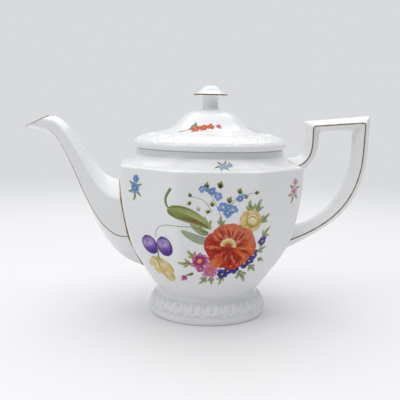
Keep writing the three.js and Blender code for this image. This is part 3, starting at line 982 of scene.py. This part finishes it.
def poppy(centre, radius, layer):
    """Broad streaked petals: coral above, deep red below left, orange to the right."""
    draw = np.random.default_rng(7)
    patches = []
    for ring, (reach, count, breadth) in enumerate([(1.0, 9, 0.82), (0.84, 7, 0.74), (0.6, 6, 0.7)]):
        for i in range(count):
            degrees = 360 * i / count + 24 * ring + draw.uniform(-7, 7)
            depth = 0.5 + 0.5 * math.cos(math.radians(degrees - 238))
            tip = CORAL_LIGHT + (RED - CORAL_LIGHT) * min(1, 1.3 * depth)
            base = RED + (RED_DARK - RED) * depth
            if math.cos(math.radians(degrees + 12)) > 0.72:
                tip = ORANGE
            length = radius * reach * draw.uniform(0.9, 1.06)
            tones = [RED_DARK, base, tip * 0.72 + base * 0.28, tip]
            low = layer + 3 * ring
            patches += petal(centre, degrees, length, length * breadth, tones, low + i % 3,
                             draw.uniform(-0.06, 0.06), 1.9, 0, 0.5, tip * 0.78 + RED_DARK * 0.22)
            patches += petal(centre, degrees + draw.uniform(-12, 12), length * 0.9, length * 0.16,
                             [RED_DARK, RED, tip, CORAL_LIGHT], low + 3, 0.03, 1.5)
    for i in range(30):
        degrees = 12 * i + draw.uniform(-4, 4)
        base = away(centre, degrees, radius * draw.uniform(0.28, 0.5))
        tones = [RED_DARK, RED_DARK, RED] if i % 3 else [CORAL, CORAL_LIGHT, ORANGE]
        patches += petal(base, degrees + draw.uniform(-8, 8), radius * draw.uniform(0.3, 0.52), 0.9, tones,
                         layer + 12, draw.uniform(-0.12, 0.12))
    heart = (centre[0] - 1.2, centre[1] + 1.2)
    patches += dot(heart, radius * 0.24, [RED_DARK, RED], layer + 14)
    for i in range(13):
        patches += petal(heart, 15 * i - 6, radius * 0.33, 1.7, [OCHRE, YELLOW, YELLOW_PALE], layer + 15,
                         skew=1.7)
    return patches + dot(heart, radius * 0.13, [RED_DARK, CORAL], layer + 17)


def rose(centre, radius, layer):
    """Broad outer petals round a pale cup, with the curled edges drawn in ochre."""
    patches = []
    for i in range(5):
        patches += petal(centre, 72 * i + 20, radius, radius * 1.35, [OCHRE, YELLOW, YELLOW_PALE],
                         layer + i % 3, 0.06, 1.7, 0, 0.14, OCHRE)
    cup = (centre[0] + radius * 0.12, centre[1] + radius * 0.1)
    patches += petal((cup[0], cup[1] - radius * 0.55), 90, radius * 1.15, radius * 1.05,
                     [YELLOW, YELLOW_PALE, YELLOW_PALE], layer + 4, 0, 1, 0, 0.08, OCHRE)
    for reach, start in ((0.5, 150), (0.3, 20), (0.66, 215)):
        curl = [away(cup, start + 40 * k, radius * reach) for k in range(5)]
        patches += stem(curl, 0.75, [OCHRE, BROWN, OCHRE], layer + 6)
    return patches


def pansy(layer):
    """Two violet upper petals, pale in the middle, and ruffled yellow petals below."""
    violet = [VIOLET_DARK, VIOLET, VIOLET_LIGHT, VIOLET]
    patches = []
    for base, degrees in (((-42.2, 53.6), 118), ((-33.0, 53.8), 110)):
        patches += petal(base, degrees, 15.4, 10, violet, layer, 0, 1, 0, 0.26, VIOLET_DARK)
        patches += petal(away(base, degrees, 5), degrees, 7, 3.4, [VIOLET, VIOLET_LIGHT, VIOLET], layer + 1,
                         0, 1, 0, 0.3)
    patches += gathered(petal, [
        ((-43, 51.8), -98, 9, 5), ((-41.8, 51.8), -76, 15, 6), ((-40.4, 52), -62, 21, 7),
        ((-38.6, 50), -48, 14, 6), ((-34.6, 43), -60, 12, 5.6),
    ], [OCHRE, YELLOW_PALE, YELLOW, YELLOW_PALE], layer, 0.03, 1.3, 0, 0.2, OCHRE * 0.5 + YELLOW * 0.5)
    patches += stem([(-41, 50), (-37.4, 43), (-31.6, 35)], 0.6, [BROWN, OCHRE, YELLOW], layer + 3)
    return patches + stem([(-40.6, 60), (-40, 54.4), (-39, 50)], 0.9, [OLIVE, BROWN], layer + 3)


def bouquet():
    """The large bouquet, with (0, height above the table) on the middle of the face."""
    light_blue = [BLUE, BLUE_LIGHT, BLUE, BLUE_LIGHT]
    deep_blue = [BLUE_DARK, BLUE, BLUE_LIGHT]
    indigo = [INDIGO_DARK, INDIGO, INDIGO_LIGHT]
    patches = stem([(-32.6, 104), (-35.6, 97.5), (-35, 92), (-31, 88)], 1.9, [SAGE, SAGE, OLIVE])
    patches += stem([(-8, 77), (-19.6, 77.4), (-34.4, 77.6), (-41, 73.8), (-42, 67)], 0.5,
                    [OLIVE, SAGE, BROWN])
    patches += leaf((-34.4, 89.6), -24, 33.5, 11.4, OLIVE_LIGHT, OLIVE, 1, 0.06)
    patches += petal((-27, 84.4), -20, 23, 2.6, [OLIVE, BROWN, OLIVE], 4, 0.05)
    patches += leaf((-4, 66), 157, 23, 7, SAGE_LIGHT, SAGE_BLUE, 1, 0.06)
    patches += leaf((-6, 72), 150, 15, 5, SAGE_LIGHT, SAGE, 2, 0.05)
    greens = [
        ((23, 88), 96, 9, 4.4), ((27, 88), 72, 10, 4), ((31, 80), 40, 9, 4), ((-5, 77), 118, 9, 3.6),
        ((3, 78), 96, 8, 3.4), ((-17, 50), 178, 10, 3.6), ((-14, 54), 134, 9, 3.6), ((-6, 39), 232, 8, 3.6),
        ((-3, 39), 280, 7, 3.2), ((5, 40), 258, 8, 3.2), ((17, 44), 296, 12, 5), ((24, 48), 312, 9, 4),
        ((33, 68), 52, 10, 3.8), ((30, 58), 20, 8, 3.4), ((31, 52), 330, 6, 3),
    ]
    for i, row in enumerate(greens):
        tones = ((OLIVE_LIGHT, OLIVE), (SAGE_LIGHT, SAGE), (OLIVE_LIGHT, OLIVE_DARK))[i % 3]
        patches += leaf_spray(*row, tones, i % 3)
    for path in (((3, 84), (-3, 96), (-8, 104)), ((6, 88), (12, 97), (17.5, 100.2), (25, 101.6)),
                 ((-4, 88), (-10, 96), (-18.8, 99))):
        patches += stem(path, 0.4, [SAGE, SAGE])
    patches += gathered(bud, [
        ((-8, 104.6), 96, 4.6), ((0.8, 104.6), 84, 5.4), ((7.3, 94.4), 80, 5), ((14.6, 100.8), 92, 4.6),
        ((-3.6, 92), 110, 4), ((-5.5, 88), 170, 3.6), ((-18.8, 98.6), 120, 3.4), ((-18.7, 95), 220, 3.4),
        ((25, 101.6), 10, 3.4), ((18, 98), 40, 3.4),
    ])
    patches += bud((-12.7, 89), 130, 3.6, [PINK, PINK_LIGHT, PINK_LIGHT])
    for i, (centre, radius) in enumerate([
        ((-11.4, 104.1), 2.5), ((-4.5, 102.5), 3), ((-0.4, 99.2), 3.2), ((14.8, 97.8), 2.8),
        ((3.3, 91.7), 3.8), ((6.6, 87.5), 3.6), ((10.2, 90), 3.6), ((-7.8, 103.6), 1.8), ((17, 99.4), 1.8),
        ((7, 91.6), 2.6),
    ]):
        tones = (light_blue, deep_blue)[i % 2]
        patches += blossom(centre, radius, tones, [YELLOW_PALE, BLUE_LIGHT], 4, 5, 18 + 9 * radius, 0.9)
    patches += rose((23.2, 81.9), 8, 3)
    for centre, radius in [((5.3, 41.4), 4), ((13.6, 46.2), 4.4), ((20.5, 50.1), 4.4), ((26.6, 56.2), 4.2),
                           ((33.1, 65.9), 3.6), ((9, 44), 3.4), ((24, 52), 3.6)]:
        patches += blossom(centre, radius, indigo, [YELLOW, OCHRE], 3, 5, 11 * radius)
    patches += daisy((-11.3, 51.9), 6.6, MAGENTA, MAGENTA * 0.6, YELLOW, 3)
    patches += daisy((-3.6, 43.6), 5.8, PINK, MAGENTA, ORANGE, 3)
    patches += blossom((-10.4, 45.6), 3, [MAGENTA, PINK], [YELLOW, YELLOW], 3)
    patches += bud((-20.4, 39.6), 250, 6, [PINK, MAGENTA, PINK_LIGHT], 3)
    patches += leaf((-15, 42), 200, 6, 2.8)
    patches += poppy((9.4, 62.6), 18, 8)
    patches += petal((5, 56), 226, 12, 8, [RED, ORANGE, CORAL_LIGHT], 22, 0, 1.5, 0, 0.3)
    return patches + pansy(4)


def small_sprig(tones, heart, size=1.0):
    """A flower with a smaller one above it and leaves on both sides."""
    def at(across, up):
        return (across * size, up * size)

    patches = stem([at(0, -5), at(-0.6, 0), at(0.6, 5.6)], 0.4, [OLIVE, SAGE])
    for base, degrees, length in [(at(-1, -1), 196, 5), (at(1, 0), 28, 5.4), (at(0, -3), 246, 5),
                                  (at(1, 3), 44, 4), (at(-1, 2), 150, 4), (at(1, -2), 318, 4.4)]:
        patches += leaf(base, degrees, length * size, 1.8 * size, OLIVE_LIGHT, OLIVE)
    patches += blossom(at(0, 0), 3.5 * size, tones, heart, 4)
    return patches + blossom(at(0.8, 5.2), 2.4 * size, tones, heart, 4, 5, 40)


def lid_sprig():
    """A low spray of red-orange buds on a grey-green stalk."""
    patches = stem([(-17, -5.4), (-10, -2), (-2, 1), (6, 2.4)], 0.9, [SAGE, OLIVE, OLIVE])
    patches += gathered(leaf, [
        ((-14, -4), 200, 6), ((-9, -1.6), 66, 6), ((-5, 0), 104, 6), ((-11, -2.6), 20, 7),
    ], 2.6, SAGE_LIGHT, OLIVE_DARK)
    patches += gathered(blossom, [((-5, -2.4), 4.2), ((0.8, -1), 3.6), ((5.6, 0.9), 2.9)],
                        [RED, CORAL, CORAL_LIGHT], [OCHRE, OCHRE], 4, 5, 18, 0.8)
    return patches + blossom((11, 2.6), 2.3, [CORAL, PINK_LIGHT], [RED, RED], 4)


def facing(degrees, tilt=0.0):
    """Right, up and inward directions for a face turned by degrees from the front, leaning back by tilt."""
    turn, lean = math.radians(degrees), math.radians(tilt)
    right = Vector((math.cos(turn), math.sin(turn), 0))
    outward = Vector((math.sin(turn) * math.cos(lean), -math.cos(turn) * math.cos(lean), math.sin(lean)))
    up = outward.cross(right)
    return right, up, -outward


def paint_piece(name, motif, tree, centre, degrees, tilt, body):
    """Lays the patches on the surface behind centre, seen along the face's own direction."""
    right, up, inward = facing(degrees, tilt)
    origin = place(centre) - inward * (PAINT_DISTANCE * MM)
    points, faces, colours = [], [], []
    for grid, colour, layer in motif:
        rows, columns, _ = grid.shape
        top, bottom = [], []
        for across, height in grid.reshape(-1, 2).tolist():
            spot, normal, _, _ = tree.ray_cast(origin + (right * across + up * height) * MM, inward)
            if spot is None:
                break
            normal = normal if normal.dot(inward) < 0 else -normal
            drawing = (spot - AXIS) / MM
            top.append(drawing + normal * (ENAMEL_LIFT + ENAMEL_LAYER * layer))
            bottom.append(drawing - normal * ENAMEL_SINK)
        if len(top) < rows * columns:
            continue
        faces += patch_faces(len(points), rows, columns)
        points += [tuple(p) for p in top + bottom]
        colours += colour.reshape(-1, 3).tolist() * 2
    make_piece(name, points, faces, ENAMEL, body, attributes={"paint": colours})


def patch_faces(first, rows, columns):
    """Top, bottom and edge of a patch whose top points come first and bottom points after them."""
    count = rows * columns
    grid = first + np.arange(count).reshape(rows, columns)
    top = np.stack([grid[:-1, :-1], grid[1:, :-1], grid[1:, 1:], grid[:-1, 1:]], axis=-1).reshape(-1, 4)
    both = np.stack([top, top[:, ::-1] + count], axis=1).reshape(-1, 4)
    rim = np.concatenate([grid[0], grid[1:, -1], grid[-1, -2::-1], grid[-2:0:-1, 0]])
    beside = np.roll(rim, -1)
    edge = np.stack([rim, beside, beside + count, rim + count], axis=1)
    return np.concatenate([both, edge]).tolist()


# petals and heart
SPRIG_TONES = {
    "blue": ([BLUE_DARK, BLUE, BLUE_LIGHT], [BLUE_LIGHT, BLUE]),
    "pale blue": ([BLUE, BLUE_LIGHT, BLUE_LIGHT], [YELLOW_PALE, BLUE_LIGHT]),
    "pink": ([PINK, PINK_LIGHT, PINK_LIGHT], [MAGENTA, PINK]),
}
# where the sprigs lie: on the shoulder and lid by radius, height and how far the face leans back
FACET_SPRIGS = [(-12.4, 101.5, "blue"), (15, 99.6, "pink")]      # across the face, height, tones
SHOULDER_SPRIG = (60.5, 119.6, 48)
LID_SPRIG = (28.5, 145, 50)


def add_paintings():
    for side, degrees in (("front", 0), ("back", 180)):
        paint_piece(f"bouquet_{side}", bouquet(), body_tree, (0, 0, 0), degrees, 0, "pot")
    for i, degrees in enumerate((-45, 45, 135, 225)):
        across, height, tone = FACET_SPRIGS[i % 2]
        centre = (*away((0, 0), degrees, across), height)
        motif = small_sprig(*SPRIG_TONES[tone], 1.25)
        paint_piece(f"facet_sprig_{i}", motif, body_tree, centre, degrees, 0, "pot")
    radius, height, lean = SHOULDER_SPRIG
    for i, degrees in enumerate((3.5, 183.5)):
        centre = (*away((0, 0), degrees - 90, radius), height)
        motif = [(grid[..., ::-1], colour, layer)
                 for grid, colour, layer in small_sprig(*SPRIG_TONES["pale blue"], 0.85)]
        paint_piece(f"shoulder_sprig_{i}", motif, body_tree, centre, degrees, lean, "pot")
    radius, height, lean = LID_SPRIG
    for i in range(3):
        degrees = -16 + 120 * i
        centre = (*away((0, 0), degrees - 90, radius), height)
        paint_piece(f"lid_sprig_{i}", lid_sprig(), lid_tree, centre, degrees, lean, "lid")


add_paintings()

# ------------ gold lines

GOLD_HALF_WIDTH = 0.5
GOLD_HALF_HEIGHT = 0.26
GOLD_SINK = 0.14
GOLD_FACETS = 8
JOINT_LINE_LIFT = 0.7        # how far outside the body's surface the spout's joint line runs
JOINT_LINE_LEAN = (-6, 0, 0)
SPOUT_LINE_REACH = 0.84      # share of the spout's length
LIP_LINE_SHIFT = (-0.2, 0, 0.45)
LIP_LINE_FACING = (-0.4, 0, 1.0)


def gold_line(name, path, outward, body, closed=False, share=1.0, brush_end=False):
    """A brushed line of gold along path, on the side that outward points to. brush_end thins it out."""
    path, outward = np.asarray(path, float), np.asarray(outward, float)
    if closed:
        along = np.roll(path, -1, axis=0) - np.roll(path, 1, axis=0)
    else:
        along = np.gradient(path, axis=0)
    along = unit(along)
    outward = unit(outward - along * np.sum(outward * along, axis=1, keepdims=True))
    across = np.cross(outward, along)
    angle = ring_angles(GOLD_FACETS)
    centre = path - outward * GOLD_SINK
    width = np.full(len(path), GOLD_HALF_WIDTH * share)
    if brush_end:
        width *= 1 - 0.75 * smooth_step(0.6, 1, np.linspace(0, 1, len(path)))
    rings = centre[:, None, :] + (
        across[:, None, :] * np.cos(angle)[None, :, None] * width[:, None, None]
        + outward[:, None, :] * np.sin(angle)[None, :, None] * GOLD_HALF_HEIGHT * share)
    skin_piece(name, rings, GOLD, body, closed=closed)


def flank_lines(prefix, skin, corners, reach=1.0):
    """Gold along two corners of the skin's section, from the body over the given share of its length."""
    skin = skin[:int(reach * len(skin))]
    middle = skin.mean(axis=1)
    for side, corner in corners.items():
        path = skin[:, corner * CORNER_STEPS + CORNER_STEPS // 2]
        gold_line(f"{prefix}_{side}", path, path - middle, "pot", brush_end=reach < 1)


def spout_joint_line():
    """Where the spout's skin comes out of the body."""
    station = np.argmax(body_reach(spout_skin, JOINT_LINE_LIFT) > 0, axis=0)
    path = spout_skin[station, np.arange(len(station))]
    return path, path - spout_skin.mean(axis=1)[station] + np.array(JOINT_LINE_LEAN)


def add_gold():
    flank_lines("gold_handle", handle_skin, {"front": 2, "back": 5})
    flank_lines("gold_spout", spout_skin, {"back": 2, "front": 4}, SPOUT_LINE_REACH)
    path, outward = spout_joint_line()
    gold_line("gold_spout_joint", path, outward, "pot", closed=True, share=1.5)
    lip = spout_skin[-1] + np.array(LIP_LINE_SHIFT)
    gold_line("gold_spout_lip", lip, np.broadcast_to(LIP_LINE_FACING, lip.shape), "pot",
              closed=True, share=0.5)
    outward = spun(1, 0, TURNED_SEGMENTS)
    rim = outward * KNOB_RIM_RADIUS + np.array([0, 0, KNOB_RIM_Z])
    gold_line("gold_knob_rim", rim, outward, "lid", closed=True)


add_gold()

# ------------ stage and light

FLOOR_RADIUS = 1.6
FLOOR_FADE = (0.4, 1.15)     # distances over which the floor fades out
FLOOR_COLOUR = (0.86, 0.86, 0.87, 1)
BACKDROP = (0.69, 0.70, 0.72, 1)
ROOM_LIGHT = 0.44            # share of the backdrop's brightness that lights the pot
LIGHT_TARGET = (0, 0, 0.1)


def add_floor():
    """A pale table top that fades into the backdrop away from the pot."""
    bpy.ops.mesh.primitive_circle_add(vertices=128, radius=FLOOR_RADIUS, fill_type="NGON", location=(0, 0, 0))
    floor = bpy.context.object
    floor.name = "floor"
    material, tree, shader = new_material("floor")
    shader["Base Color"].default_value = FLOOR_COLOUR
    shader["Roughness"].default_value = 0.6
    coordinates = add_node(tree, "ShaderNodeTexCoord")
    distance = add_node(tree, "ShaderNodeVectorMath", operation="LENGTH")
    tree.links.new(coordinates.outputs["Object"], distance.inputs[0])
    near, far = FLOOR_FADE
    fade = add_node(tree, "ShaderNodeMapRange", interpolation_type="SMOOTHSTEP",
                    **{"From Min": near, "From Max": far, "To Min": 1, "To Max": 0})
    tree.links.new(distance.outputs["Value"], fade.inputs["Value"])
    tree.links.new(fade.outputs["Result"], shader["Alpha"])
    floor.data.materials.append(material)


def add_light(name, location, size, power):
    """A square of light that faces the middle of the pot."""
    data = bpy.data.lights.new(name, "AREA")
    data.shape = "SQUARE"
    data.size = size
    data.energy = power
    light = bpy.data.objects.new(name, data)
    scene.collection.objects.link(light)
    light.location = location
    light.rotation_euler = (Vector(LIGHT_TARGET) - Vector(location)).to_track_quat("-Z", "Y").to_euler()


def add_world():
    """A plain grey backdrop, which lights the pot less than it shows and reflects."""
    world = bpy.data.worlds.new("studio")
    scene.world = world
    world.use_nodes = True
    tree = world.node_tree
    background = tree.nodes["Background"].inputs
    background["Color"].default_value = BACKDROP
    rays = add_node(tree, "ShaderNodeLightPath")
    strength = add_node(tree, "ShaderNodeMapRange", **{"To Min": ROOM_LIGHT, "To Max": 1})
    shown = add_node(tree, "ShaderNodeMath", operation="MAXIMUM")
    tree.links.new(rays.outputs["Is Camera Ray"], shown.inputs[0])
    tree.links.new(rays.outputs["Is Glossy Ray"], shown.inputs[1])
    tree.links.new(shown.outputs["Value"], strength.inputs["Value"])
    tree.links.new(strength.outputs["Result"], background["Strength"])


add_floor()
add_world()
add_light("top", (0.0, 0.1, 1.35), 2.1, 23)
add_light("left", (-1.0, -0.5, 0.8), 0.6, 2)
scene.view_settings.view_transform = "Standard"
